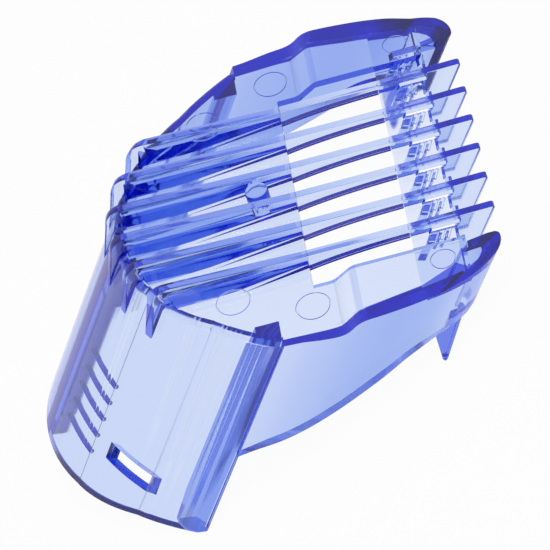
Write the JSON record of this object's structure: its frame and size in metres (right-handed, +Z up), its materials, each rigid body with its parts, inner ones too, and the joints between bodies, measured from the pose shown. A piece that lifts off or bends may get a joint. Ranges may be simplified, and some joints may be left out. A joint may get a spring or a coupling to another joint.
{
  "type": "hair clipper guide comb",
  "caption": "Slide-on guide comb for a hair clipper: a clear blue moulding with comb teeth over a blade opening, curved cheeks and a raked sleeve that slips over the clipper's nose.",
  "frame": {"origin": "centre of the bounding box in X and Y, on the surface the comb stands on", "axes": "+X across the comb, +Y towards the tooth tips, +Z up with the comb standing on its rim corners and prongs"},
  "size_m": [0.0504, 0.0712, 0.0293],
  "materials": {
    "clear_blue_plastic": "glossy, transparent"
  },
  "bodies": {
    "root": {"sleeve_back": "clear_blue_plastic", "sleeve_flank_right": "clear_blue_plastic", "sleeve_flank_left": "clear_blue_plastic", "sleeve_side_right": "clear_blue_plastic", "sleeve_side_left": "clear_blue_plastic", "side_rail_right": "clear_blue_plastic", "side_rail_left": "clear_blue_plastic", "back_rail": "clear_blue_plastic", "grip_ridge_1": "clear_blue_plastic", "grip_ridge_2": "clear_blue_plastic", "grip_ridge_3": "clear_blue_plastic", "grip_ridge_4": "clear_blue_plastic", "grip_ridge_5": "clear_blue_plastic", "deck_rear": "clear_blue_plastic", "deck_side_right": "clear_blue_plastic", "deck_side_left": "clear_blue_plastic", "blade_bar": "clear_blue_plastic", "gate_boss": "clear_blue_plastic", "cheek_right": "clear_blue_plastic", "cheek_left": "clear_blue_plastic", "prong_right": "clear_blue_plastic", "prong_left": "clear_blue_plastic", "tooth_1": "clear_blue_plastic", "tooth_2": "clear_blue_plastic", "tooth_3": "clear_blue_plastic", "tooth_4": "clear_blue_plastic", "tooth_5": "clear_blue_plastic", "tooth_6": "clear_blue_plastic"}
  },
  "joints": []
}
